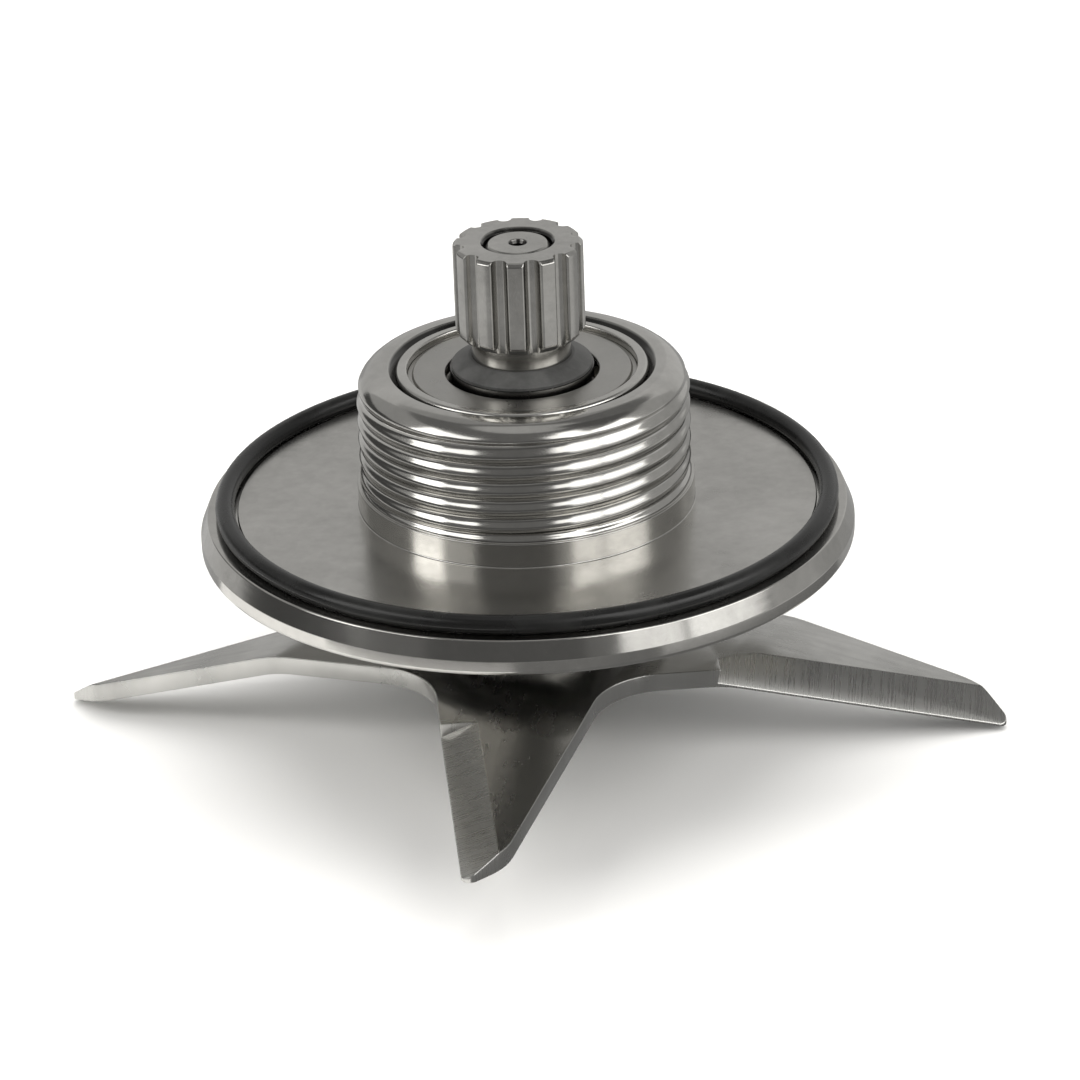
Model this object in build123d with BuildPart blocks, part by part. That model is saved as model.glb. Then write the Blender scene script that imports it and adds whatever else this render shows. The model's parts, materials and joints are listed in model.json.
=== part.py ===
"""Blender blade assembly: a flanged bearing housing with a threaded neck, two ball bearings,
a shaft seal, a drive shaft with a twelve-tooth spline, and a four-armed cutting blade.

Millimetres, +Z up along the shaft. The drive spline is at the top, and the part stands on
its cap nut and on the tips of the two bent arms."""
import os
from math import cos, radians, sin, sqrt, tan

from build123d import *

os.makedirs("parts", exist_ok=True)

# Cutting blade
blade_thickness = 2.0
tip_reach = 50.9
tip_lead_offset = 0.4
tip_cut_run = 4.3
tip_trail_offset = 3.4
lead_taper = 12.0
trail_taper = 8.8
root_fillet = 8.0
tip_lead_round = 0.9
tip_trail_round = 7.0
blade_azimuth = -8.0
bend_radius = 24.0
bend_angle = 16.0
bend_skew = 22.0
bend_inside_radius = 10.0
bend_lead_in = 1.0
bevel_width = 3.8
bevel_depth = 1.6
bevel_start = 20.0

# Ball bearings, one size for both places
bearing_od = 26.0
bearing_bore = 10.0
bearing_width = 8.0
ball_diameter = 4.76
ball_count = 7
race_clearance = 0.02
ring_shoulder_step = 1.6
ring_chamfer = 0.4
ring_land = 1.15
shield_recess = 0.5
shield_thickness = 0.5
shield_gap = 0.5
cage_wall = 1.6
cage_base = 0.55
cage_rise = 0.9
pocket_clearance = 0.06

# Bearing housing
face_above_blade = 16.2
neck_height = 14.9
neck_diameter = 35.0
thread_diameter = 34.4
thread_pitch = 1.95
thread_depth = 1.1
thread_crest = 0.25
thread_root_flat = 0.35
thread_overcut = 0.25
plain_neck = 2.6
neck_round = 2.8
neck_root_fillet = 0.3
bearing_sink = 0.1
mouth_chamfer = 0.8
flange_diameter = 68.0
flange_depth = 3.9
skirt_height = 2.3
skirt_rim_width = 1.85
lip_round = 0.5
boss_wall = 1.8
boss_depth = 13.0
boss_chamfer = 0.6
bearing_shoulder = 2.0
lower_bearing_drop = 0.7

# Rim O-ring
o_ring_section = 2.0
o_ring_inset = 2.65
o_ring_lift = 0.5
face_edge_clearance = 0.3
rebate_depth = 0.35

# Shaft and what is clamped on it
shaft_end_diameter = 8.0
seal_land_diameter = 12.0
flat_width = 6.5
shaft_chamfer = 0.5
drive_end_diameter = 7.0
shaft_end_recess = 0.2
centre_hole_diameter = 1.8
centre_hole_depth = 2.0
thrust_washer_thickness = 1.2
thrust_washer_diameter = 17.0
lock_washer_thickness = 1.2
lock_washer_diameter = 14.8
lock_washer_split = 1.0
nut_across_flats = 13.0
nut_cap_height = 1.8
nut_cap_diameter = 12.0
nut_cap_round = 1.2
nut_end_wall = 1.2
nut_chamfer = 0.5
nut_end_gap = 0.3
spacer_diameter = 14.0
assembly_clearance = 0.03

# Drive spline
spline_diameter = 13.3
spline_length = 10.1
spline_bottom = 3.5
spline_teeth = 12
spline_gap_width = 1.5
spline_root_diameter = 11.2
spline_end_chamfer = 0.7
spline_bore_chamfer = 0.35
spline_tooth_azimuth = -93.0
collar_diameter = 10.2
foot_diameter = 12.6
foot_height = 0.5

# Dust ring and shaft seal
v_ring_inset = 0.15
v_ring_height = 1.3
v_ring_lip = 0.35
seal_height = 4.0
seal_case_wall = 0.8
seal_case_flange = 3.5
seal_lip_clearance = 0.03
seal_top_gap = 0.2
seal_edge_rise = 1.7
seal_lip_wall = 1.4
garter_section = 1.1
garter_stand_out = 0.3

# Distance within which a corner counts as lying on a given radius
pick_tolerance = 0.01

# Heights worked out from the sizes above
tip_trail_reach = tip_reach - tip_cut_run
bend_slope = tan(radians(bend_angle))
skew = radians(bend_skew)
tip_past_bend = (tip_reach - bend_radius) * cos(skew) + tip_lead_offset * sin(skew)
blade_bottom = tip_past_bend * bend_slope + blade_thickness / cos(radians(bend_angle)) - blade_thickness
blade_top = blade_bottom + blade_thickness
flange_face = blade_top + face_above_blade
bearing_face = flange_face + neck_height
upper_bearing_base = bearing_face - bearing_width
lower_bearing_top = flange_face - lower_bearing_drop
lower_bearing_base = lower_bearing_top - bearing_width
boss_bottom = flange_face - boss_depth
shoulder_bottom = blade_top + thrust_washer_thickness
nut_top = blade_bottom - lock_washer_thickness
shaft_bottom = nut_end_wall + nut_end_gap
spline_base = bearing_face + spline_bottom
spline_top = spline_base + spline_length
shaft_top = spline_top - shaft_end_recess

# Radii used in several pieces
bearing_outer_radius = bearing_od / 2
bearing_bore_radius = bearing_bore / 2
ball_radius = ball_diameter / 2
pitch_radius = (bearing_outer_radius + bearing_bore_radius) / 2
race_radius = ball_radius + race_clearance
inner_shoulder_radius = pitch_radius - ring_shoulder_step
outer_shoulder_radius = pitch_radius + ring_shoulder_step
shield_seat_radius = bearing_outer_radius - ring_land
shield_bore_radius = inner_shoulder_radius + shield_gap
shield_seat_depth = shield_recess + shield_thickness
shaft_end_radius = shaft_end_diameter / 2
drive_end_radius = drive_end_diameter / 2
seal_land_radius = seal_land_diameter / 2
collar_radius = collar_diameter / 2
foot_radius = foot_diameter / 2


def arm_point(along, across, azimuth):
    """Plan position of a point on an arm, from its distance along and across the arm."""
    turn = radians(azimuth)
    return along * cos(turn) - across * sin(turn), along * sin(turn) + across * cos(turn)


def bevel_plane(azimuth, slope):
    """Plane across the ground edge: X towards the leading edge, Y into the plate, Z to the tip."""
    taper = radians(lead_taper)
    crease_offset = bevel_width / cos(taper)
    start_across = crease_offset - tip_lead_offset - (tip_reach - bevel_start) * tan(taper)
    past_bend = (bevel_start - bend_radius) * cos(skew) - start_across * sin(skew)
    x, y = arm_point(bevel_start, start_across, azimuth)
    turn = radians(azimuth)
    downhill = Vector(cos(turn - skew), sin(turn - skew), 0)
    edge = Vector(cos(turn + taper), sin(turn + taper), 0)
    edge = Vector(edge.X, edge.Y, -slope * edge.dot(downhill))
    normal = Vector(slope * downhill.X, slope * downhill.Y, 1)
    origin = (x, y, blade_top - slope * past_bend)
    return Plane(origin=origin, x_dir=edge.cross(normal), z_dir=edge)


def trim_plane(azimuth):
    """Plane on the underside of the flat plate, with X across the bend line of one bent arm."""
    turn = radians(azimuth) - skew
    x, y = arm_point(bend_radius, 0, azimuth)
    return Plane(origin=(x, y, blade_bottom), x_dir=(cos(turn), sin(turn), 0), z_dir=(0, 0, 1))


def on_root_corner(vertex):
    """True for a corner between two arms."""
    return abs(vertex.center().length - root_radius) < pick_tolerance


def on_lead_corner(vertex):
    """True for the sharp corner at the leading side of a tip."""
    return abs(vertex.center().length - tip_lead_radius) < pick_tolerance


def on_trail_corner(vertex):
    """True for the blunt corner at the trailing side of a tip."""
    return abs(vertex.center().length - tip_trail_radius) < pick_tolerance


# Plan outline of the blade: leading tip corner, trailing tip corner, root corner, per arm
lead_slope = tan(radians(lead_taper))
trail_slope = tan(radians(trail_taper))
root_reach = tip_reach - tip_trail_offset - trail_slope * tip_trail_reach
root_along = (tip_lead_offset + lead_slope * root_reach) / (1 - lead_slope * trail_slope)
root_across = tip_trail_offset + trail_slope * (tip_trail_reach - root_along)
root_radius = sqrt(root_along**2 + root_across**2)
tip_lead_radius = sqrt(tip_reach**2 + tip_lead_offset**2)
tip_trail_radius = sqrt(tip_trail_reach**2 + tip_trail_offset**2)
arm_azimuths = [blade_azimuth + 90 * arm for arm in range(4)]
bent_azimuths = arm_azimuths[0::2]
flat_azimuths = arm_azimuths[1::2]
outline = []
for azimuth in arm_azimuths:
    outline.append(arm_point(tip_reach, -tip_lead_offset, azimuth))
    outline.append(arm_point(tip_trail_reach, tip_trail_offset, azimuth))
    outline.append(arm_point(root_along, root_across, azimuth))

fold_turn = radians(blade_azimuth) - skew
fold_x, fold_y = arm_point(bend_radius, 0, blade_azimuth)
fold_plane = Plane(
    origin=(fold_x, fold_y, 0),
    x_dir=(cos(fold_turn), sin(fold_turn), 0),
    z_dir=(sin(fold_turn), -cos(fold_turn), 0),
)
fold_angle = radians(bend_angle)
bend_outside_radius = bend_inside_radius + blade_thickness
fold_tangent = bend_outside_radius * tan(fold_angle / 2)
fold_start = -fold_tangent - bend_lead_in
fold_centre = (-fold_tangent, blade_top - bend_outside_radius)
fold_outside = (
    fold_centre[0] + bend_outside_radius * sin(fold_angle),
    fold_centre[1] + bend_outside_radius * cos(fold_angle),
)
fold_inside = (
    fold_centre[0] + bend_inside_radius * sin(fold_angle),
    fold_centre[1] + bend_inside_radius * cos(fold_angle),
)
fold_run = tip_reach * cos(fold_angle)
fold_fall = tip_reach * sin(fold_angle)
bevel_run = 2 * bevel_width
bevel_fall = 2 * bevel_depth

with BuildPart() as bent_arm:
    with BuildSketch(fold_plane):
        with BuildLine():
            Polyline((-fold_tangent, blade_bottom), (fold_start, blade_bottom), (fold_start, blade_top))
            Line((fold_start, blade_top), (-fold_tangent, blade_top))
            CenterArc(fold_centre, bend_outside_radius, 90, -bend_angle)
            Polyline(
                fold_outside,
                (fold_outside[0] + fold_run, fold_outside[1] - fold_fall),
                (fold_inside[0] + fold_run, fold_inside[1] - fold_fall),
                fold_inside,
            )
            CenterArc(fold_centre, bend_inside_radius, 90, -bend_angle)
        make_face()
    extrude(amount=tip_reach, both=True)
    with BuildSketch() as bent_outline:
        with BuildLine():
            Polyline(*outline[0:3], (0, 0), outline[-1], close=True)
        make_face()
        lead_corners = bent_outline.vertices().filter_by(on_lead_corner)
        fillet(lead_corners, tip_lead_round)
        trail_corners = bent_outline.vertices().filter_by(on_trail_corner)
        fillet(trail_corners, tip_trail_round)
    extrude(amount=blade_top, mode=Mode.INTERSECT)
    with BuildSketch(bevel_plane(blade_azimuth, bend_slope)):
        with BuildLine():
            Polyline((0, 0), (bevel_run, bevel_fall), (bevel_run, -bevel_fall), (0, -bevel_fall), close=True)
        make_face()
    extrude(amount=tip_reach, mode=Mode.SUBTRACT)

with BuildPart() as cutting_blade:
    with BuildSketch(Plane.XY.offset(blade_bottom)) as blank:
        with BuildLine():
            Polyline(*outline, close=True)
        make_face()
        fillet(blank.vertices().filter_by(on_root_corner), root_fillet)
        fillet(blank.vertices().filter_by(on_lead_corner), tip_lead_round)
        fillet(blank.vertices().filter_by(on_trail_corner), tip_trail_round)
    extrude(amount=blade_thickness)
    for azimuth in bent_azimuths:
        with BuildSketch(trim_plane(azimuth)):
            with Locations((fold_start, 0)):
                Rectangle(tip_reach, tip_reach, align=(Align.MIN, Align.CENTER))
        extrude(amount=blade_thickness, mode=Mode.SUBTRACT)
    with PolarLocations(0, len(bent_azimuths)):
        add(bent_arm.part)
    for azimuth in flat_azimuths:
        with BuildSketch(bevel_plane(azimuth, 0)):
            with BuildLine():
                Polyline(
                    (0, 0),
                    (bevel_run, bevel_fall),
                    (bevel_run, -bevel_fall),
                    (0, -bevel_fall),
                    close=True,
                )
            make_face()
        extrude(amount=tip_reach, mode=Mode.SUBTRACT)
    with BuildSketch(Plane.XY.offset(blade_bottom)):
        Circle(shaft_end_radius + assembly_clearance)
        Rectangle(shaft_end_diameter, flat_width + 2 * assembly_clearance, mode=Mode.INTERSECT)
    extrude(amount=blade_thickness, mode=Mode.SUBTRACT)
cutting_blade.part.label = "cutting_blade"
export_step(cutting_blade.part, "parts/cutting_blade.step")

housing_top = bearing_face + bearing_sink
flange_bottom = flange_face - flange_depth
flange_radius = flange_diameter / 2
neck_radius = neck_diameter / 2
thread_radius = thread_diameter / 2
boss_radius = bearing_outer_radius + boss_wall
web_bore_radius = bearing_outer_radius - bearing_shoulder
o_ring_radius = flange_radius - o_ring_inset
skirt_top_radius = o_ring_radius + skirt_rim_width
face_edge_radius = o_ring_radius - o_ring_section / 2 - face_edge_clearance
groove_mouth = thread_pitch - thread_crest
overcut_width = thread_overcut * (groove_mouth - thread_root_flat) / 2 / thread_depth
groove_start = flange_face + plain_neck + overcut_width + groove_mouth / 2
groove_rise = housing_top - neck_round - groove_mouth / 2 - groove_start
with BuildPart() as bearing_housing:
    with BuildSketch(Plane.XZ) as housing_section:
        with BuildLine():
            Polyline(
                (bearing_outer_radius, boss_bottom),
                (boss_radius - boss_chamfer, boss_bottom),
                (boss_radius, boss_bottom + boss_chamfer),
                (boss_radius, flange_bottom),
                (flange_radius, flange_bottom),
                (flange_radius, flange_face - skirt_height),
                (skirt_top_radius, flange_face - rebate_depth),
                (face_edge_radius, flange_face - rebate_depth),
                (face_edge_radius, flange_face),
                (neck_radius, flange_face),
                (neck_radius, flange_face + plain_neck),
                (thread_radius, flange_face + plain_neck),
                (thread_radius, housing_top),
                (bearing_outer_radius + mouth_chamfer, housing_top),
                (bearing_outer_radius, housing_top - mouth_chamfer),
                (bearing_outer_radius, upper_bearing_base),
                (web_bore_radius, upper_bearing_base),
                (web_bore_radius, lower_bearing_top),
                (bearing_outer_radius, lower_bearing_top),
                close=True,
            )
        make_face()
        lip_corners = housing_section.vertices().filter_by_position(
            Axis.X, flange_radius - pick_tolerance, flange_radius + pick_tolerance
        )
        fillet(lip_corners.sort_by(Axis.Y)[0], lip_round)
        thread_corners = housing_section.vertices().filter_by_position(
            Axis.X, thread_radius - pick_tolerance, thread_radius + pick_tolerance
        )
        fillet(thread_corners.sort_by(Axis.Y)[-1], neck_round)
        neck_corners = housing_section.vertices().filter_by_position(
            Axis.X, neck_radius - pick_tolerance, neck_radius + pick_tolerance
        )
        fillet(neck_corners.sort_by(Axis.Y)[0], neck_root_fillet)
        with Locations((o_ring_radius, flange_face + o_ring_lift)):
            Circle(o_ring_section / 2, mode=Mode.SUBTRACT)
    revolve(axis=Axis.Z)
    with BuildLine():
        thread_path = Helix(thread_pitch, groove_rise, thread_radius, center=(0, 0, groove_start))
    with BuildSketch(Plane(origin=thread_path @ 0, x_dir=(1, 0, 0), z_dir=thread_path % 0)):
        with BuildLine():
            Polyline(
                (thread_overcut, -groove_mouth / 2 - overcut_width),
                (thread_overcut, groove_mouth / 2 + overcut_width),
                (-thread_depth, thread_root_flat / 2),
                (-thread_depth, -thread_root_flat / 2),
                close=True,
            )
        make_face()
    sweep(path=thread_path, is_frenet=True, mode=Mode.SUBTRACT)
bearing_housing.part.label = "bearing_housing"
export_step(bearing_housing.part, "parts/bearing_housing.step")

with BuildPart() as flange_o_ring:
    with Locations((0, 0, flange_face + o_ring_lift)):
        Torus(o_ring_radius, o_ring_section / 2)
flange_o_ring.part.label = "flange_o_ring"
export_step(flange_o_ring.part, "parts/flange_o_ring.step")

for place, base in (("drive", upper_bearing_base), ("blade", lower_bearing_base)):
    middle = base + bearing_width / 2
    top = base + bearing_width

    with BuildPart() as outer_ring:
        with BuildSketch(Plane.XZ):
            with BuildLine():
                Polyline(
                    (outer_shoulder_radius, base + shield_seat_depth),
                    (shield_seat_radius, base + shield_seat_depth),
                    (shield_seat_radius, base),
                    (bearing_outer_radius - ring_chamfer, base),
                    (bearing_outer_radius, base + ring_chamfer),
                    (bearing_outer_radius, top - ring_chamfer),
                    (bearing_outer_radius - ring_chamfer, top),
                    (shield_seat_radius, top),
                    (shield_seat_radius, top - shield_seat_depth),
                    (outer_shoulder_radius, top - shield_seat_depth),
                    close=True,
                )
            make_face()
            with Locations((pitch_radius, middle)):
                Circle(race_radius, mode=Mode.SUBTRACT)
        revolve(axis=Axis.Z)
    outer_ring.part.label = f"{place}_bearing_outer_ring"
    export_step(outer_ring.part, f"parts/{place}_bearing_outer_ring.step")

    with BuildPart() as inner_ring:
        with BuildSketch(Plane.XZ):
            with BuildLine():
                Polyline(
                    (bearing_bore_radius + ring_chamfer, base),
                    (inner_shoulder_radius, base),
                    (inner_shoulder_radius, top),
                    (bearing_bore_radius + ring_chamfer, top),
                    (bearing_bore_radius, top - ring_chamfer),
                    (bearing_bore_radius, base + ring_chamfer),
                    close=True,
                )
            make_face()
            with Locations((pitch_radius, middle)):
                Circle(race_radius, mode=Mode.SUBTRACT)
        revolve(axis=Axis.Z)
    inner_ring.part.label = f"{place}_bearing_inner_ring"
    export_step(inner_ring.part, f"parts/{place}_bearing_inner_ring.step")

    with BuildPart() as cage:
        cage_bottom = middle - ball_radius - pocket_clearance - cage_base
        with BuildSketch(Plane.XY.offset(cage_bottom)):
            Circle(pitch_radius + cage_wall / 2)
            Circle(pitch_radius - cage_wall / 2, mode=Mode.SUBTRACT)
        extrude(amount=middle + cage_rise - cage_bottom)
        with Locations((0, 0, middle)):
            with PolarLocations(pitch_radius, ball_count):
                Sphere(ball_radius + pocket_clearance, mode=Mode.SUBTRACT)
    cage.part.label = f"{place}_bearing_cage"
    export_step(cage.part, f"parts/{place}_bearing_cage.step")

    with BuildPart() as balls:
        with Locations((0, 0, middle)):
            with PolarLocations(pitch_radius, ball_count):
                Sphere(ball_radius)
    balls.part.label = f"{place}_bearing_balls"
    export_step(balls.part, f"parts/{place}_bearing_balls.step")

    for side, shield_base in (("lower", base + shield_recess), ("upper", top - shield_seat_depth)):
        with BuildPart() as shield:
            with BuildSketch(Plane.XY.offset(shield_base)):
                Circle(shield_seat_radius)
                Circle(shield_bore_radius, mode=Mode.SUBTRACT)
            extrude(amount=shield_thickness)
        shield.part.label = f"{place}_bearing_{side}_shield"
        export_step(shield.part, f"parts/{place}_bearing_{side}_shield.step")

with BuildPart() as shaft:
    with BuildSketch(Plane.XZ):
        with BuildLine():
            Polyline(
                (0, shaft_bottom),
                (shaft_end_radius - shaft_chamfer, shaft_bottom),
                (shaft_end_radius, shaft_bottom + shaft_chamfer),
                (shaft_end_radius, shoulder_bottom),
                (seal_land_radius, shoulder_bottom),
                (seal_land_radius, lower_bearing_base),
                (bearing_bore_radius, lower_bearing_base),
                (bearing_bore_radius, bearing_face),
                (drive_end_radius, bearing_face),
                (drive_end_radius, shaft_top - shaft_chamfer),
                (drive_end_radius - shaft_chamfer, shaft_top),
                (0, shaft_top),
                close=True,
            )
        make_face()
    revolve(axis=Axis.Z)
    with Locations((0, 0, shaft_top)):
        Cylinder(
            centre_hole_diameter / 2,
            centre_hole_depth,
            align=(Align.CENTER, Align.CENTER, Align.MAX),
            mode=Mode.SUBTRACT,
        )
    with BuildSketch(Plane.XY.offset(shaft_bottom)):
        Rectangle(shaft_end_diameter * 2, shaft_end_diameter * 2)
        Rectangle(shaft_end_diameter * 2, flat_width, mode=Mode.SUBTRACT)
    extrude(amount=shoulder_bottom - shaft_bottom, mode=Mode.SUBTRACT)
shaft.part.label = "shaft"
export_step(shaft.part, "parts/shaft.step")

with BuildPart() as bearing_spacer:
    with BuildSketch(Plane.XY.offset(lower_bearing_top)):
        Circle(spacer_diameter / 2)
        Circle(bearing_bore_radius, mode=Mode.SUBTRACT)
    extrude(amount=upper_bearing_base - lower_bearing_top)
bearing_spacer.part.label = "bearing_spacer"
export_step(bearing_spacer.part, "parts/bearing_spacer.step")

spline_radius = spline_diameter / 2
groove_centre = spline_root_diameter / 2 + spline_gap_width / 2
first_gap_azimuth = spline_tooth_azimuth + 180 / spline_teeth
with BuildPart() as drive_spline:
    with BuildSketch(Plane.XZ):
        with BuildLine():
            Polyline(
                (drive_end_radius, bearing_face),
                (foot_radius, bearing_face),
                (foot_radius, bearing_face + foot_height),
                (collar_radius, bearing_face + foot_height),
                (collar_radius, spline_base),
                (spline_radius - spline_end_chamfer, spline_base),
                (spline_radius, spline_base + spline_end_chamfer),
                (spline_radius, spline_top - spline_end_chamfer),
                (spline_radius - spline_end_chamfer, spline_top),
                (drive_end_radius + spline_bore_chamfer, spline_top),
                (drive_end_radius, spline_top - spline_bore_chamfer),
                close=True,
            )
        make_face()
    revolve(axis=Axis.Z)
    with BuildSketch(Plane.XY.offset(spline_base)):
        with PolarLocations(groove_centre, spline_teeth, start_angle=first_gap_azimuth):
            Circle(spline_gap_width / 2)
            Rectangle(spline_radius, spline_gap_width, align=(Align.MIN, Align.CENTER))
    extrude(amount=spline_length, mode=Mode.SUBTRACT)
drive_spline.part.label = "drive_spline"
export_step(drive_spline.part, "parts/drive_spline.step")

v_ring_radius = inner_shoulder_radius - v_ring_inset
with BuildPart() as dust_v_ring:
    with BuildSketch(Plane.XZ):
        with BuildLine():
            Polyline(
                (foot_radius, bearing_face),
                (v_ring_radius, bearing_face),
                (v_ring_radius, bearing_face + v_ring_lip),
                (collar_radius + v_ring_lip, bearing_face + v_ring_height),
                (collar_radius, bearing_face + v_ring_height),
                (collar_radius, bearing_face + foot_height),
                (foot_radius, bearing_face + foot_height),
                close=True,
            )
        make_face()
    revolve(axis=Axis.Z)
dust_v_ring.part.label = "dust_v_ring"
export_step(dust_v_ring.part, "parts/dust_v_ring.step")

seal_bottom = lower_bearing_base - seal_height
case_bore_radius = bearing_outer_radius - seal_case_flange
with BuildPart() as seal_case:
    with BuildSketch(Plane.XZ):
        with BuildLine():
            Polyline(
                (bearing_outer_radius, seal_bottom),
                (bearing_outer_radius, lower_bearing_base),
                (case_bore_radius, lower_bearing_base),
                (case_bore_radius, lower_bearing_base - seal_case_wall),
                (bearing_outer_radius - seal_case_wall, lower_bearing_base - seal_case_wall),
                (bearing_outer_radius - seal_case_wall, seal_bottom),
                close=True,
            )
        make_face()
    revolve(axis=Axis.Z)
seal_case.part.label = "seal_case"
export_step(seal_case.part, "parts/seal_case.step")

lip_edge_radius = seal_land_radius + seal_lip_clearance
lip_edge_height = seal_bottom + seal_edge_rise
lip_back_radius = seal_land_radius + seal_lip_wall
garter_radius = lip_back_radius + garter_stand_out
with BuildPart() as seal_lip:
    with BuildSketch(Plane.XZ):
        with BuildLine():
            Polyline(
                (case_bore_radius, lower_bearing_base - seal_top_gap),
                (seal_land_radius + garter_section, lower_bearing_base - seal_top_gap),
                (lip_edge_radius, lip_edge_height),
                (seal_land_radius + garter_section / 2, seal_bottom + seal_case_wall),
                (lip_back_radius, seal_bottom + seal_case_wall),
                (lip_back_radius, lip_edge_height + garter_section),
                (case_bore_radius, lower_bearing_base - seal_case_wall),
                close=True,
            )
        make_face()
        with Locations((garter_radius, lip_edge_height)):
            Circle(garter_section / 2, mode=Mode.SUBTRACT)
    revolve(axis=Axis.Z)
seal_lip.part.label = "seal_lip"
export_step(seal_lip.part, "parts/seal_lip.step")

with BuildPart() as seal_garter_spring:
    with Locations((0, 0, lip_edge_height)):
        Torus(garter_radius, garter_section / 2)
seal_garter_spring.part.label = "seal_garter_spring"
export_step(seal_garter_spring.part, "parts/seal_garter_spring.step")

with BuildPart() as thrust_washer:
    with BuildSketch(Plane.XY.offset(blade_top)):
        Circle(thrust_washer_diameter / 2)
    extrude(amount=thrust_washer_thickness)
    with BuildSketch(Plane.XY.offset(blade_top)):
        Circle(shaft_end_radius + assembly_clearance)
        Rectangle(shaft_end_diameter, flat_width + 2 * assembly_clearance, mode=Mode.INTERSECT)
    extrude(amount=thrust_washer_thickness, mode=Mode.SUBTRACT)
thrust_washer.part.label = "thrust_washer"
export_step(thrust_washer.part, "parts/thrust_washer.step")

with BuildPart() as lock_washer:
    with BuildSketch(Plane.XY.offset(nut_top)):
        Circle(lock_washer_diameter / 2)
        Circle(shaft_end_radius + assembly_clearance, mode=Mode.SUBTRACT)
        Rectangle(
            lock_washer_diameter,
            lock_washer_split,
            align=(Align.MIN, Align.CENTER),
            mode=Mode.SUBTRACT,
        )
    extrude(amount=lock_washer_thickness)
lock_washer.part.label = "lock_washer"
export_step(lock_washer.part, "parts/lock_washer.step")

nut_corner_radius = nut_across_flats / 2 / cos(radians(30))
with BuildPart() as cap_nut:
    with BuildSketch(Plane.XY.offset(nut_cap_height)):
        RegularPolygon(nut_across_flats / 2, 6, major_radius=False)
    extrude(amount=nut_top - nut_cap_height)
    with BuildSketch(Plane.XZ):
        with BuildLine():
            Polyline(
                (0, nut_cap_height),
                (nut_corner_radius - nut_chamfer, nut_cap_height),
                (nut_corner_radius, nut_cap_height + nut_chamfer),
                (nut_corner_radius, nut_top - nut_chamfer),
                (nut_corner_radius - nut_chamfer, nut_top),
                (0, nut_top),
                close=True,
            )
        make_face()
    revolve(axis=Axis.Z, mode=Mode.INTERSECT)
    with BuildSketch():
        Circle(nut_cap_diameter / 2)
    extrude(amount=nut_cap_height)
    fillet(cap_nut.edges().sort_by(Axis.Z)[0], nut_cap_round)
    with BuildSketch(Plane.XY.offset(nut_end_wall)):
        Circle(shaft_end_radius)
    extrude(amount=nut_top - nut_end_wall, mode=Mode.SUBTRACT)
cap_nut.part.label = "cap_nut"
export_step(cap_nut.part, "parts/cap_nut.step")
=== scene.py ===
"""Blender blade assembly: the finished surfaces, their materials and a small photo studio.

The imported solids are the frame. The neck's screw thread, the turned and moulded edges, the drive teeth and
the coil of the shaft seal are worked out here as surfaces, at the sizes of the frame.
"""
import json
from math import cos, radians, sin

import bmesh
import bpy
import numpy as np
from bpy.props import FloatProperty, FloatVectorProperty, IntProperty, PointerProperty
from mathutils import Matrix, Vector


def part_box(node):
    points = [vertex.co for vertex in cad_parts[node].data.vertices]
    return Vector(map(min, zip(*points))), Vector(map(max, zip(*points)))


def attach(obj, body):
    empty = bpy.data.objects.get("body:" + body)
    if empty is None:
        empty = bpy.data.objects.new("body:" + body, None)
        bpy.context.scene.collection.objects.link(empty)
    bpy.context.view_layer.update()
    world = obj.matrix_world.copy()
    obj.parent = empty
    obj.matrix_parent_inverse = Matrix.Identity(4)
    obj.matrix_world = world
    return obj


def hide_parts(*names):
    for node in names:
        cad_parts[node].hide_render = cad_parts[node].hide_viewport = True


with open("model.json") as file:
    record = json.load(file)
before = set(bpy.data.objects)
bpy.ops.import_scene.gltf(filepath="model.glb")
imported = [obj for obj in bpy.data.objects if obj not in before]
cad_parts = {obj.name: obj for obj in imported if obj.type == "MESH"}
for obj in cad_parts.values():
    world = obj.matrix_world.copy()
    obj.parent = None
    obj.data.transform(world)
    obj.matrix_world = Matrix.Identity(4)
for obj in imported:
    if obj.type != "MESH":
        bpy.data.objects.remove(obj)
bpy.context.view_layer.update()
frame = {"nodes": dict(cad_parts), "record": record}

bl_info = {
    "name": "Blender blade assembly",
    "version": (1, 0, 0),
    "blender": (4, 5, 0),
    "location": "3D View > Sidebar > Blade assembly",
    "description": "Finished surfaces, materials and studio of a blender blade assembly",
    "category": "Object",
}

MM = 0.001
SHARP_ANGLE = 35  # degrees between two faces, from which their edge is drawn sharp


def low(node):
    """Lowest corner of a CAD node, in metres."""
    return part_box(node)[0]


def high(node):
    """Highest corner of a CAD node, in metres."""
    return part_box(node)[1]


def mount(name):
    """Place of one of the frame's mounts, in metres."""
    return next(Vector(place["pos_m"]) for place in frame["record"]["mounts"] if place["name"] == name)


# Surfaces


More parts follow.
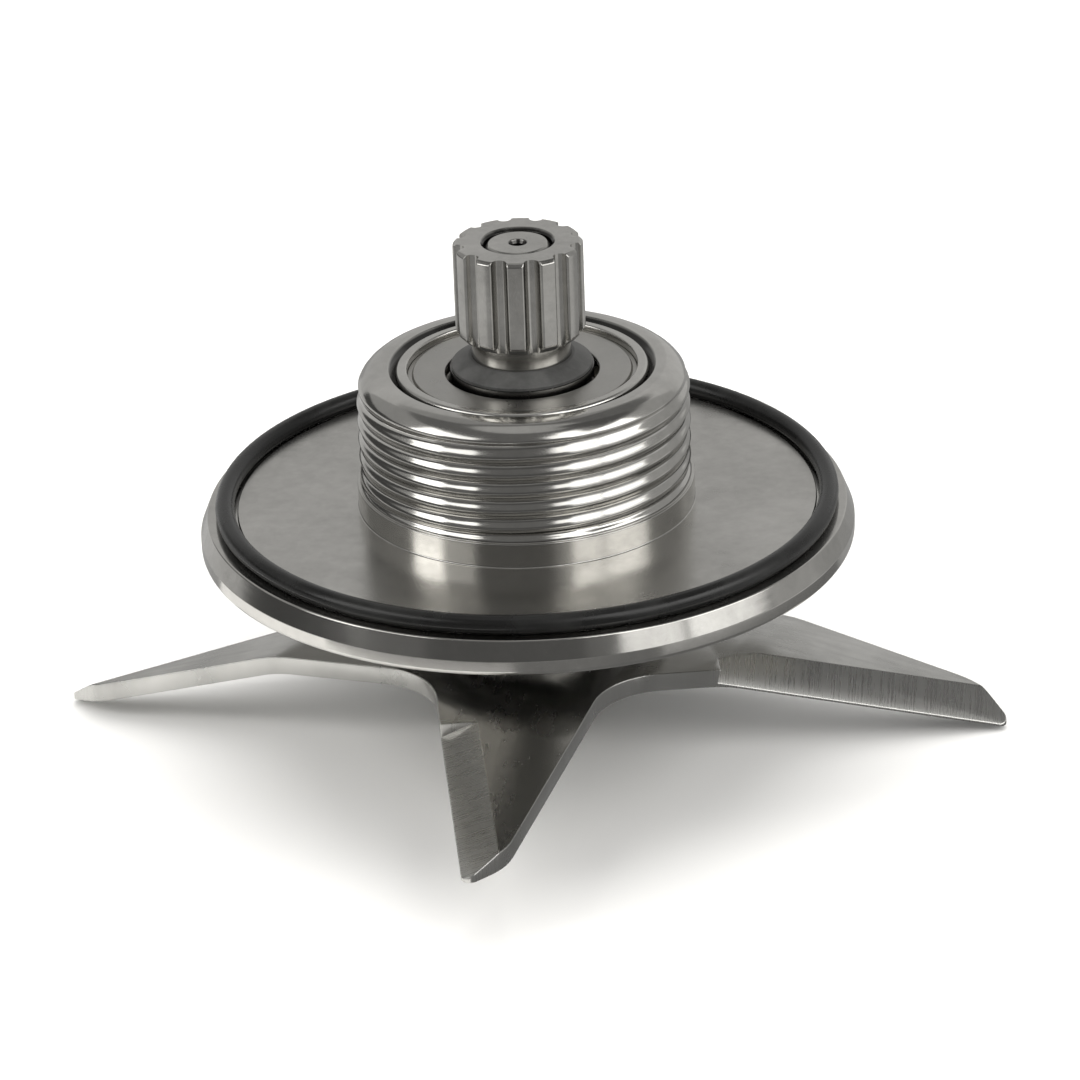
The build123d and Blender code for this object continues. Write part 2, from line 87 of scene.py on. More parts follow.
def rounded_path(corners, steps=4, support=0.06 * MM):
    """Closed path through corners (radius, height, rounding).

    Each corner is replaced by the arc that touches both of its sides. Its centre lies on the corner's
    bisector at rounding / sin(half the angle), and the arc turns from one side's normal to the other's.
    A point is set just before and just after each arc, so that flat faces stay flat under smooth shading.
    """
    corners = np.asarray(corners, float)
    here, rounding = corners[:, :2], corners[:, 2:]
    back = np.roll(here, 1, 0) - here
    on = np.roll(here, -1, 0) - here
    back /= np.linalg.norm(back, axis=1, keepdims=True)
    on /= np.linalg.norm(on, axis=1, keepdims=True)
    half = np.arccos(np.clip((back * on).sum(1, keepdims=True), -1, 1)) / 2
    bisector = back + on
    bisector /= np.linalg.norm(bisector, axis=1, keepdims=True)
    centre = here + bisector * rounding / np.sin(half)
    start = here + back * rounding / np.tan(half) - centre
    end = here + on * rounding / np.tan(half) - centre
    turn = (np.pi - 2 * half)[:, :, None]
    share = np.linspace(0, 1, steps + 1)[None, :, None]
    sweep = np.sin((1 - share) * turn) * start[:, None] + np.sin(share * turn) * end[:, None]
    arc = centre[:, None] + sweep / np.sin(turn)
    before = arc[:, :1] + back[:, None] * support
    after = arc[:, -1:] + on[:, None] * support
    return np.concatenate([before, arc, after], axis=1).reshape(-1, 2)


def circle(count):
    """Evenly spaced angles of one full turn."""
    return np.linspace(0, 2 * np.pi, count, endpoint=False)


def weave(points, close_rows=True, close_columns=True):
    """Points and four-sided faces of a grid: rows run along the section, columns run round the piece.

    Points has the shape (rows, columns, 3) in metres. Each direction can close on itself.
    """
    rows, columns = points.shape[:2]
    index = np.arange(rows * columns).reshape(rows, columns)
    if close_rows:
        index = np.concatenate([index, index[:1]])
    if close_columns:
        index = np.concatenate([index, index[:, :1]], axis=1)
    faces = np.stack([index[:-1, :-1], index[:-1, 1:], index[1:, 1:], index[1:, :-1]], axis=-1)
    return points.reshape(-1, 3), faces.reshape(-1, 4)


def surface(name, grids, body, material, nodes, sharp=SHARP_ANGLE):
    """A mesh of one or more woven grids. Points that fall together, as at a pole or a seam, are merged."""
    starts = np.cumsum([0] + [len(points) for points, faces in grids])
    points = np.concatenate([points for points, faces in grids])
    faces = np.concatenate([faces + start for (points_here, faces), start in zip(grids, starts)])
    mesh = bpy.data.meshes.new(name)
    mesh.from_pydata(points, [], faces)
    work = bmesh.new()
    work.from_mesh(mesh)
    together = 0.0005 * MM
    bmesh.ops.remove_doubles(work, verts=work.verts, dist=together)
    bmesh.ops.dissolve_degenerate(work, edges=work.edges, dist=together)
    bmesh.ops.recalc_face_normals(work, faces=work.faces)
    work.to_mesh(mesh)
    work.free()
    mesh.polygons.foreach_set("use_smooth", np.ones(len(mesh.polygons), bool))
    mesh.set_sharp_from_angle(angle=radians(sharp))
    mesh.materials.append(material)
    piece = bpy.data.objects.new(name, mesh)
    bpy.context.scene.collection.objects.link(piece)
    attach(piece, body)
    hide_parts(*nodes)


def turned(path, angles, limit=None):
    """Points of a turned piece: each point of the section path is carried round the axis.

    Where limit is given, the radius is the smaller of the path's and limit(angles, heights), as on a hexagon
    or a shaft with flats.
    """
    radius = np.repeat(path[:, :1], len(angles), 1)
    height = np.repeat(path[:, 1:], len(angles), 1)
    if limit is not None:
        radius = np.minimum(radius, limit(angles[None], height))
    return np.stack([radius * np.cos(angles), radius * np.sin(angles), height], axis=-1)


def smoothstep(share):
    """0 to 1 with level ends: 3 s^2 - 2 s^3 of the share, held between 0 and 1."""
    share = np.clip(share, 0, 1)
    return share * share * (3 - 2 * share)


# Materials


def empty_tree(owner):
    """The node tree of a new material or world, with nothing in it."""
    owner.use_nodes = True
    owner.node_tree.nodes.clear()
    return owner.node_tree


def new_node(tree, kind, feeds=(), **settings):
    """A shader node with settings as attributes and feeds as {input: number, colour or output}."""
    node = tree.nodes.new("ShaderNode" + kind)
    for key, value in settings.items():
        setattr(node, key, value)
    for socket, feed in dict(feeds).items():
        if isinstance(feed, bpy.types.NodeSocket):
            tree.links.new(feed, node.inputs[socket])
        else:
            node.inputs[socket].default_value = feed
    return node


class Shader:
    """A new material with one Principled shader and a short way of adding nodes to it."""

    def __init__(self, name, **constants):
        self.material = bpy.data.materials.new(name)
        self.tree = empty_tree(self.material)
        self.face = self.add("BsdfPrincipled", {key.replace("_", " "): value for key, value in constants.items()})
        self.out = self.add("OutputMaterial", {0: self.face.outputs[0]})
        self.place = self.add("TexCoord").outputs["Object"]

    def add(self, kind, feeds=(), **settings):
        """A node of this material."""
        return new_node(self.tree, kind, feeds, **settings)

    def math(self, operation, first, second=0.0, third=0.0):
        """One Math node's result."""
        return self.add("Math", {0: first, 1: second, 2: third}, operation=operation).outputs[0]

    def plus(self, first, second):
        """First plus second."""
        return self.math("ADD", first, second)

    def times(self, first, second):
        """First times second."""
        return self.math("MULTIPLY", first, second)

    def places(self):
        """The piece's x, y and z, and the distance from the axis: the root of x^2 + y^2."""
        x, y, z = self.add("SeparateXYZ", {0: self.place}).outputs
        return x, y, z, self.math("SQRT", self.plus(self.times(x, x), self.times(y, y)))

    def join(self, x, y, z):
        """A vector of three values."""
        return self.add("CombineXYZ", {0: x, 1: y, 2: z}).outputs[0]

    def between(self, share, first, second):
        """Value between first and second."""
        return self.add("Mix", {0: share, 2: first, 3: second}, data_type="FLOAT").outputs[0]

    def noise(self, scale, detail=3.0, roughness=0.55, vector=None):
        """Noise from 0 to 1 on the piece's own coordinates."""
        feeds = {"Vector": vector or self.place, "Scale": scale, "Detail": detail, "Roughness": roughness}
        return self.add("TexNoise", feeds).outputs["Fac"]

    def spread(self, value, low_in, high_in, low_out, high_out):
        """Value moved from one range to another and held there."""
        feeds = {"Value": value, "From Min": low_in, "From Max": high_in, "To Min": low_out, "To Max": high_out}
        return self.add("MapRange", feeds).outputs[0]

    def mix(self, share, first, second):
        """Colour between first and second."""
        ends = [end if isinstance(end, bpy.types.NodeSocket) else (*end, 1.0) for end in (first, second)]
        return self.add("Mix", {0: share, 6: ends[0], 7: ends[1]}, data_type="RGBA").outputs[2]

    def bump(self, height, strength, distance):
        """Sends a height to the shader's normal."""
        self.feed("Normal", self.add("Bump", {"Height": height, "Strength": strength, "Distance": distance}).outputs[0])

    def feed(self, socket, value):
        """Links a worked-out value to the shader."""
        self.tree.links.new(value, self.face.inputs[socket])


def shade(colour, share):
    """A colour made darker or lighter by a factor."""
    return tuple(min(1.0, part * share) for part in colour)


def turned_steel(name, colour, smooth, rough, ring=0.35 * MM, ring_depth=0.15, mottle=70.0, swing=0.22, dull=None,
                 painted_gap_shade=()):
    """Steel turned on a lathe and polished: cloudy reflection, fine rings about the axis, faint handling marks.

    A flat face at the height dull is duller by half. Each (inner, outer, above) of the shade rings is painted
    shade that stands for the shadow in a gap or a hole: it darkens the steel where the distance from the axis
    lies between inner and outer, above that height.
    """
    s = Shader(name, Metallic=1.0)
    cloud = s.noise(mottle, 5.0, 0.6)
    fine = s.noise(mottle * 9, 4.0, 0.65)
    rings = s.add("TexWave", {"Vector": s.place, "Scale": 0.314 / ring, "Distortion": 0.6, "Detail": 2.0},
                  wave_type="RINGS", rings_direction="Z").outputs["Fac"]
    marks = s.plus(s.times(cloud, 0.7), s.times(fine, 0.3))
    tone = s.spread(marks, 0.32, 0.68, 0.0, 1.0)
    paint = s.mix(tone, shade(colour, 1 - swing), shade(colour, 1 + swing * 0.35))
    gloss = s.spread(marks, 0.3, 0.7, rough, smooth)
    level, out = s.places()[2:]
    if dull is not None:
        flat = s.math("COMPARE", level, dull, 0.05 * MM)
        gloss = s.times(gloss, s.math("MULTIPLY_ADD", flat, 0.5, 1.0))
    soft = 0.2 * MM
    # Painted shade: each ring darkens the steel to about a tenth, standing for the shadow in a gap or hole
    for inner, outer, above in painted_gap_shade:
        band = s.times(s.spread(out, inner, inner + soft, 0.0, 1.0), s.spread(out, outer - soft, outer, 1.0, 0.0))
        gap_shade_mask = s.times(band, s.math("GREATER_THAN", level, above))
        paint = s.mix(gap_shade_mask, paint, shade(colour, 0.12))
    s.feed("Base Color", paint)
    s.feed("Roughness", gloss)
    s.bump(s.plus(s.times(rings, ring_depth), s.times(fine, 0.5)), 0.25, 0.012 * MM)
    return s.material


def rubber(name, colour, rough=0.2):
    """Moulded rubber: near black, with a fine skin and dusty patches that are a little lighter and duller."""
    s = Shader(name, Specular_IOR_Level=0.35)
    dust = s.noise(160.0, 5.0, 0.65)
    skin = s.noise(3800.0, 2.0)
    s.feed("Base Color", s.mix(s.spread(dust, 0.45, 0.75, 0.0, 1.0), colour, shade(colour, 2.2)))
    s.feed("Roughness", s.spread(dust, 0.35, 0.7, rough, rough + 0.18))
    s.bump(skin, 0.2, 0.02 * MM)
    return s.material


def moulded_plastic(name, colour):
    """Natural moulded plastic with a faint flow pattern."""
    s = Shader(name)
    flow = s.noise(240.0, 4.0)
    s.feed("Base Color", s.mix(flow, shade(colour, 0.9), colour))
    s.feed("Roughness", s.spread(flow, 0.3, 0.7, 0.42, 0.55))
    return s.material


def pressed_sheet(name, colour, smooth, rough):
    """Sheet steel as it comes from the press: satin, with a fine grain and soft patches."""
    s = Shader(name, Metallic=1.0)
    patch = s.noise(130.0, 4.0, 0.6)
    grain = s.noise(2600.0, 2.0)
    s.feed("Base Color", s.mix(s.spread(patch, 0.35, 0.65, 0.0, 1.0), shade(colour, 0.86), shade(colour, 1.05)))
    s.feed("Roughness", s.spread(s.plus(patch, s.times(grain, 0.4)), 0.5, 0.9, smooth, rough))
    s.bump(grain, 0.25, 0.01 * MM)
    return s.material


def blade_steel(name, sizes, finish):
    """Stamped and tumbled stainless sheet with ground edges.

    The place on the blade is read as the distance along and across the nearest arm: the angle about the axis
    is folded into one quarter turn. From the bevel's start outwards, within its width of the leading edge, the
    surface has fine grinding lines that run across the edge; elsewhere it has soft patches and a few long scuffs.
    """
    colour = finish.blade_colour
    s = Shader(name, Metallic=1.0)
    x, y, z, reach = s.places()
    quarter = radians(90)
    angle = s.plus(s.math("ARCTAN2", y, x), radians(45 - sizes.blade_azimuth))
    folded = s.math("SUBTRACT", s.math("FLOORED_MODULO", angle, quarter), quarter / 2)
    along = s.times(reach, s.math("COSINE", folded))
    across = s.times(reach, s.math("SINE", folded))
    taper = sizes.lead_taper
    short = s.math("SUBTRACT", sizes.tip_reach, along)
    edge = s.plus(s.times(across, cos(taper)), s.times(short, sin(taper)))
    ground = s.times(s.math("LESS_THAN", edge, sizes.bevel_width - sizes.edge_offset),
                     s.math("GREATER_THAN", along, sizes.bevel_start))
    grinding = s.noise(1.0, 3.0, 0.6, vector=s.join(s.times(along, 5200.0), s.times(edge, 160.0), z))
    scuff = s.noise(1.0, 4.0, 0.6, vector=s.join(s.times(along, 120.0), s.times(across, 900.0), z))
    patch = s.noise(95.0, 5.0, 0.6)
    tone = s.plus(s.times(patch, 0.65), s.times(scuff, 0.35))
    plain = s.mix(s.spread(tone, 0.36, 0.64, 0.0, 1.0), shade(colour, 0.78), shade(colour, 1.06))
    cut = s.mix(s.spread(grinding, 0.3, 0.7, 0.0, 1.0), shade(colour, 0.94), shade(colour, 1.02))
    s.feed("Base Color", s.mix(ground, plain, cut))
    plain_rough = s.spread(tone, 0.35, 0.65, finish.blade_rough, finish.blade_rough * 0.6)
    cut_rough = s.spread(grinding, 0.3, 0.7, finish.blade_rough * 1.1, finish.blade_rough * 0.7)
    s.feed("Roughness", s.between(ground, plain_rough, cut_rough))
    s.bump(s.between(ground, s.times(scuff, 0.15), grinding), 0.15, 0.006 * MM)
    return s.material


def material(kind):
    """The material of one finish, made on first use."""
    done = bpy.data.materials.get(kind)
    if done is not None:
        return done
    finish = bpy.context.scene.blade_finish
    sizes = bpy.context.scene.blade_sizes
    steel = finish.steel_colour
    face, tip, end = sizes.flange_face, high("drive_spline").z, sizes.drive_end_radius
    # Rings of painted shade where these lie in shadow: the housing's bearing mouth, the shaft's centre hole, and the
    # gap between the shaft's end and the sleeve
    mouth = [(-1 * MM, sizes.bearing_radius + sizes.mouth_chamfer, face + sizes.neck_radius / 2)]
    centre = [(-1 * MM, 1.05 * MM, tip - 3 * MM), (end - 0.4 * MM, end + 0.35 * MM, tip - 1 * MM)]
    makers = {
        "housing_polish": lambda: turned_steel(kind, steel, 0.1, 0.2, dull=face, painted_gap_shade=mouth),
        "spline_turning": lambda: turned_steel(kind, shade(steel, 0.95), 0.12, 0.22, 0.3 * MM, 0.2, 140.0,
                                               painted_gap_shade=centre),
        # The inner rings' steel is darkened to three tenths: painted shade for the shadow inside the shield's bore
        "shaded_race_steel": lambda: turned_steel(kind, shade(steel, 0.3), 0.2, 0.34, 0.2 * MM, 0.2, 140.0),
        "bearing_grinding": lambda: turned_steel(kind, shade(steel, 1.04), 0.16, 0.26, 0.2 * MM, 0.2, 120.0, 0.12),
        "shield_pressing": lambda: pressed_sheet(kind, shade(steel, 0.84), 0.26, 0.42),
        "blade_sheet": lambda: blade_steel(kind, sizes, finish),
        "fastener_steel": lambda: pressed_sheet(kind, shade(steel, 0.9), 0.22, 0.4),
        "o_ring_rubber": lambda: rubber(kind, finish.rubber_colour),
        "dust_ring_rubber": lambda: rubber(kind, shade(finish.rubber_colour, 7.0), 0.5),
        "seal_rubber": lambda: rubber(kind, (0.05, 0.035, 0.028), 0.45),
        "cage_plastic": lambda: moulded_plastic(kind, (0.62, 0.57, 0.44)),
    }
    return makers[kind]()


def finish_node(name, kind, bevel=0.0):
    """Gives a CAD node its material, and rounds its sharp edges where bevel is set."""
    node = frame["nodes"][name]
    node.data.materials.clear()
    node.data.materials.append(material(kind))
    node.data.polygons.foreach_set("use_smooth", np.ones(len(node.data.polygons), bool))
    weld = node.modifiers.new("Join", "WELD")
    weld.merge_threshold = 0.002 * MM
    if bevel:
        flat = node.modifiers.new("Whole faces", "DECIMATE")
        flat.decimate_type = "DISSOLVE"
        flat.angle_limit = radians(0.6)
        edge = node.modifiers.new("Broken edges", "BEVEL")
        edge.width = bevel
        edge.segments = 3
        edge.limit_method = "ANGLE"
        edge.angle_limit = radians(14)
        edge.harden_normals = True
        edge.use_clamp_overlap = True
    else:
        edge = node.modifiers.new("Sharp edges", "EDGE_SPLIT")
        edge.split_angle = radians(SHARP_ANGLE)


# Sizes and finishes that a user would change


def length(name, description, default):
    """A length that a user would change, in metres."""
    return FloatProperty(name=name, description=description, default=default, unit="LENGTH")


class BladeAssemblySizes(bpy.types.PropertyGroup):
    """Sizes of the finished surfaces; what the frame already holds is read from it."""

    flange_face: length("Flange face", "Height of the polished face", mount("flange_seat").z)
    flange_depth: length("Flange depth", "From the face down to the flange's underside", 3.9 * MM)
    skirt_height: length("Skirt height", "From the face down to the lip", 2.3 * MM)
    skirt_rim_width: length("Rim width", "From the O-ring's middle out to the skirt's top", 1.85 * MM)
    rebate_depth: length("Rebate depth", "Depth of the O-ring's rebate", 0.35 * MM)
    face_edge_clearance: length("Edge clearance", "From the face's edge to the O-ring", 0.3 * MM)
    boss_wall: length("Boss wall", "Wall round the blade bearing", 1.8 * MM)
    bearing_shoulder: length("Bearing shoulder", "Step between the two bearings", 2.0 * MM)
    neck_radius: length("Neck radius", "Radius of the plain neck below the thread", 17.5 * MM)
    plain_neck: length("Plain neck", "Height of the plain neck", 2.6 * MM)
    neck_round: length("Neck rounding", "Rounding of the neck's end", 2.8 * MM)
    mouth_chamfer: length("Mouth chamfer", "Chamfer of the bearing's seat", 0.8 * MM)
    thread_radius: length("Thread radius", "Radius over the thread's crests", 17.2 * MM)
    thread_pitch: length("Thread pitch", "Rise of the neck's thread in one turn", 1.95 * MM)
    thread_depth: length("Thread depth", "Depth of the worn, rounded thread below its crest", 0.45 * MM)
    thread_mouth: length("Thread mouth", "Width of the groove at the crest", 1.7 * MM)
    thread_root: length("Thread root", "Width of the groove at its bottom", 0.35 * MM)
    thread_rounding: length("Thread rounding", "Length that eases the thread's corners", 0.32 * MM)
    shoulder_steps: IntProperty(name="Shoulder steps", default=4, min=0, max=8,
                                description="Steps of the neck's rounding that the thread runs into")
    columns: IntProperty(name="Columns", description="Points round the housing", default=264, min=24)
    groove_start: length("Groove start", "First groove's height above the plain neck", 1.003 * MM)
    bearing_radius: length("Bearing radius", "Radius of both bearing seats", high("drive_bearing_outer_ring").x)
    shield_bore: length("Shield bore", "Radius of the hole in a bearing's shield", 7.9 * MM)
    drive_end_radius: length("Drive end radius", "Radius of the shaft inside the spline", 3.5 * MM)
    collar_radius: length("Collar radius", "Radius of the sleeve below the teeth", 5.1 * MM)
    foot_radius: length("Foot radius", "Radius of the sleeve's foot on the bearing", 6.3 * MM)
    foot_height: length("Foot height", "Height of the sleeve's foot", 0.5 * MM)
    spline_length: length("Spline length", "Length of the drive teeth", 10.1 * MM)
    teeth: IntProperty(name="Drive teeth", description="Teeth of the drive spline", default=12, min=3)
    gap_width: length("Tooth gap", "Width of the gap between two teeth", 1.5 * MM)
    gap_root: length("Gap root radius", "Radius at the root of a gap", 5.6 * MM)
    tooth_azimuth: FloatProperty(name="Tooth azimuth", description="Direction of one tooth",
                                 default=radians(-93), subtype="ANGLE")
    blade_azimuth: FloatProperty(name="Blade azimuth", description="Direction of the right-hand arm, in degrees",
                                 default=-8.0)
    tip_reach: length("Tip reach", "Distance of the tips along an arm", 50.9 * MM)
    edge_offset: length("Edge offset", "Distance of the leading corner across an arm", 0.4 * MM)
    lead_taper: FloatProperty(name="Edge taper", description="Angle of the leading edge to the arm",
                              default=radians(12), subtype="ANGLE")
    bevel_width: length("Bevel width", "Width of the ground edge", 3.8 * MM)
    bevel_start: length("Bevel start", "Where the ground edge begins along an arm", 20.0 * MM)
    edge_break: length("Edge break", "Rounding of stamped edges", 0.12 * MM)


class BladeAssemblyFinish(bpy.types.PropertyGroup):
    """Colours and gloss."""

    steel_colour: FloatVectorProperty(name="Steel", description="Colour of polished stainless steel",
                                      default=(0.56, 0.55, 0.525), subtype="COLOR", min=0.0, max=1.0)
    blade_colour: FloatVectorProperty(name="Blade steel", description="Colour of the blade's sheet",
                                      default=(0.55, 0.545, 0.525), subtype="COLOR", min=0.0, max=1.0)
    blade_rough: FloatProperty(name="Blade roughness", description="Dullest roughness of the blade's sheet",
                               default=0.32, min=0.0, max=1.0)
    rubber_colour: FloatVectorProperty(name="Rubber", description="Colour of the black rubber",
                                       default=(0.008, 0.008, 0.0078), subtype="COLOR", min=0.0, max=1.0)


class BladeAssemblyStage(bpy.types.PropertyGroup):
    """Camera and light."""

    elevation: FloatProperty(name="Camera elevation", description="Height of the view above the horizon",
                             default=radians(25.18), subtype="ANGLE")
    distance: length("Camera distance", "From the camera to the aim point", 0.5)
    roll: FloatProperty(name="Camera roll", description="Turn of the picture", default=radians(-2.05), subtype="ANGLE")
    lens: FloatProperty(name="Lens", description="Focal length for a 36 mm sensor", default=160.47, unit="CAMERA")
    aim_height: length("Aim height", "Height of the aim point", mount("flange_seat").z + 1.0 * MM)
    aim_right: length("Aim right", "Camera's step to the right", 1.39 * MM)
    aim_up: length("Aim up", "Camera's step upwards", -5.52 * MM)
    room: FloatProperty(name="Room light", description="Strength of the even light on the object", default=0.44,
                        min=0.0)
    boxes: FloatProperty(name="Soft boxes", description="Power of the soft boxes", default=3.0, min=0.0)


# Pieces


class BLADE_OT_housing(bpy.types.Operator):
    """Bearing housing with its rim groove and the neck's screw thread"""

    bl_idname = "blade.housing"
    bl_label = "Housing"

    def execute(self, context):
        z = context.scene.blade_sizes
        foot, top = low("bearing_housing").z, high("bearing_housing").z
        rim = high("bearing_housing").x
        face, neck, thread, seat = z.flange_face, z.neck_radius, z.thread_radius, z.bearing_radius
        ring_low, ring_high = low("flange_o_ring"), high("flange_o_ring")
        thick = (ring_high.z - ring_low.z) / 2
        ring, level = ring_high.x - thick, ring_low.z + thick
        land = face - z.rebate_depth
        edge = ring - thick - z.face_edge_clearance
        slack = 0.02 * MM
        bed = thick + slack
        opening = np.arcsin((level - land) / bed)
        turn = np.linspace(-opening, opening - np.pi, 9)
        groove = np.stack([ring + bed * np.cos(turn), level + bed * np.sin(turn), 0 * turn], axis=1)
        under, boss, web = face - z.flange_depth, seat + z.boss_wall, seat - z.bearing_shoulder
        upper_base = low("drive_bearing_outer_ring").z
        lower_top = high("blade_bearing_outer_ring").z
        bore = seat + slack
        path = rounded_path([
            (bore, foot, 0.2 * MM), (boss, foot, 0.5 * MM), (boss, under, 0.6 * MM), (rim, under, 0.5 * MM),
            (rim, face - z.skirt_height, 0.25 * MM), (ring + z.skirt_rim_width, land, 0.2 * MM), *groove,
            (edge, land, 0.05 * MM), (edge, face, 0.08 * MM), (neck, face, 0.12 * MM),
            (neck, face + z.plain_neck, 0.1 * MM), (thread, face + z.plain_neck, 0.1 * MM),
            (thread, top, z.neck_round), (seat + z.mouth_chamfer, top, 0.15 * MM),
            (bore, top - z.mouth_chamfer, 0.1 * MM), (bore, upper_base, 0.1 * MM), (web, upper_base, 0.2 * MM),
            (web, lower_top, 0.2 * MM), (bore, lower_top, 0.1 * MM),
        ], steps=8, support=0.04 * MM)
        run = np.flatnonzero((np.abs(path[:-1, 0] - thread) < 1e-7) & (np.diff(path[:, 1]) > 3 * MM))[0]
        path = np.roll(path, -(run + 1), axis=0)[z.shoulder_steps:]
        plain = weave(turned(path, circle(z.columns)), close_rows=False)
        thread_points = self.screw(z, path[-1, 1], path[0, 1], top - z.neck_round)
        screw = weave(thread_points, close_rows=False, close_columns=False)
        surface("housing", [plain, screw], "housing", material("housing_polish"),
                ["bearing_housing"])
        return {"FINISHED"}

    def screw(self, z, bottom, top, shoulder):
        """Points of the screw thread between two heights.

        A row keeps its place in the thread's section and climbs by one pitch in a turn, so it runs along the
        ridge. The section is a groove with straight flanks and a flat root; averaging it over a short distance
        rounds its corners. The groove fades out at both ends. Above the shoulder's height the neck's own radius
        follows the rounding of its end: the rounding's middle plus the root of rounding^2 - rise^2.
        """
        around = np.linspace(0, 2 * np.pi, z.columns + 1)
        start = z.flange_face + z.plain_neck + z.groove_start
        share = np.concatenate([np.linspace(-0.5, -0.36, 5), np.linspace(-0.31, -0.16, 4),
                                np.linspace(-0.12, 0.12, 5), np.linspace(0.16, 0.31, 4), np.linspace(0.36, 0.47, 4)])
        first = np.floor((bottom - start) / z.thread_pitch) - 1
        last = np.ceil((top - start) / z.thread_pitch) + 1
        rows = (np.arange(first, last + 1)[:, None] + share).ravel()
        height = np.clip(start + z.thread_pitch * (rows[:, None] + around / (2 * np.pi)), bottom, top)
        away = np.abs(rows - np.round(rows))[:, None] * z.thread_pitch + np.linspace(-1, 1, 9) * z.thread_rounding
        flank = (z.thread_mouth - z.thread_root) / 2
        form = np.clip((z.thread_mouth / 2 - np.abs(away)) / flank, 0, 1).mean(1, keepdims=True)
        fade = 0.35 * z.thread_pitch
        rise = np.clip(height - shoulder, 0, z.neck_round)
        radius = z.thread_radius - z.neck_round + np.sqrt(z.neck_round ** 2 - rise ** 2)
        ends = smoothstep((height - bottom) / fade) * smoothstep((top - height) / fade)
        radius = radius - z.thread_depth * form * ends
        return np.stack([radius * np.cos(around), radius * np.sin(around), height], axis=-1)


class BLADE_OT_rim_ring(bpy.types.Operator):
    """O-ring on the flange's rim"""

    bl_idname = "blade.rim_ring"
    bl_label = "Rim O-ring"

    def execute(self, context):
        lowest, highest = low("flange_o_ring"), high("flange_o_ring")
        thick = (highest.z - lowest.z) / 2
        centre = highest.x - thick
        turn = circle(36)
        seam = 0.012 * MM
        bulge = thick - seam + seam * np.exp(-(np.sin(turn) / 0.12) ** 2)
        path = np.stack([centre + bulge * np.cos(turn), lowest.z + thick + thick * np.sin(turn)], axis=1)
        surface("rim_o_ring", [weave(turned(path, circle(256)))], "housing",
                material("o_ring_rubber"), ["flange_o_ring"])
        return {"FINISHED"}


class BLADE_OT_drive_bearing(bpy.types.Operator):
    """Outer ring and shield of the bearing in the neck, and the dust ring in front of it"""

    bl_idname = "blade.drive_bearing"
    bl_label = "Drive bearing"

    def execute(self, context):
        seat = context.scene.blade_sizes.bearing_radius
        base, top = low("drive_bearing_outer_ring").z, high("drive_bearing_outer_ring").z
        middle = (base + top) / 2
        shield = high("drive_bearing_upper_shield")
        shield_base = low("drive_bearing_upper_shield").z
        land = shield.x
        wall, ball_circle, race_radius = 2.4 * MM, 9.0 * MM, 2.4 * MM
        shoulder = seat - wall
        depth = top - shield_base
        turn = np.radians(np.linspace(42, -42, 9))
        across, up = race_radius * np.cos(turn), race_radius * np.sin(turn)
        race = np.stack([ball_circle + across, middle + up, 0 * turn], axis=1)
        race = race[race[:, 0] > shoulder]
        ring = rounded_path([
            (shoulder, base + depth, 0.05 * MM), (land, base + depth, 0.02 * MM), (land, base, 0.1 * MM),
            (seat, base, 0.4 * MM), (seat, top, 0.4 * MM), (land, top, 0.22 * MM),
            (land, top - depth, 0.02 * MM), (shoulder, top - depth, 0.05 * MM), *race,
        ], steps=6, support=0.02 * MM)
        angles = circle(192)
        surface("drive_bearing_ring", [weave(turned(ring, angles))], "housing",
                material("bearing_grinding"), ["drive_bearing_outer_ring"])
        bore = context.scene.blade_sizes.shield_bore
        rim, curl, slope = land - 0.02 * MM, land - 0.5 * MM, 0.14 * MM
        step = shield.z - 0.32 * MM
        sheet = rounded_path([
            (bore, shield_base, 0.1 * MM), (rim, shield_base, 0.05 * MM), (rim, step, 0.08 * MM),
            (curl, step, 0.06 * MM), (curl - slope, shield.z, 0.12 * MM), (bore, shield.z, 0.2 * MM),
        ], steps=5, support=0.03 * MM)
        surface("drive_bearing_shield", [weave(turned(sheet, angles))], "housing",
                material("shield_pressing"), ["drive_bearing_upper_shield"])
        foot, collar = context.scene.blade_sizes.foot_radius, context.scene.blade_sizes.collar_radius
        foot_top = top + context.scene.blade_sizes.foot_height
        cone_radius, cone_top = high("dust_v_ring").x, high("dust_v_ring").z
        lip = 0.35 * MM
        cone = rounded_path([
            (foot, top, 0.02 * MM), (cone_radius, top, 0.03 * MM), (cone_radius, top + lip, 0.15 * MM),
            (collar + lip, cone_top, 0.15 * MM), (collar, cone_top, 0.05 * MM),
            (collar, foot_top, 0.02 * MM), (foot, foot_top, 0.02 * MM),
        ], support=0.01 * MM)
        surface("dust_ring", [weave(turned(cone, angles))], "rotor", material("dust_ring_rubber"),
                ["dust_v_ring"])
        return {"FINISHED"}


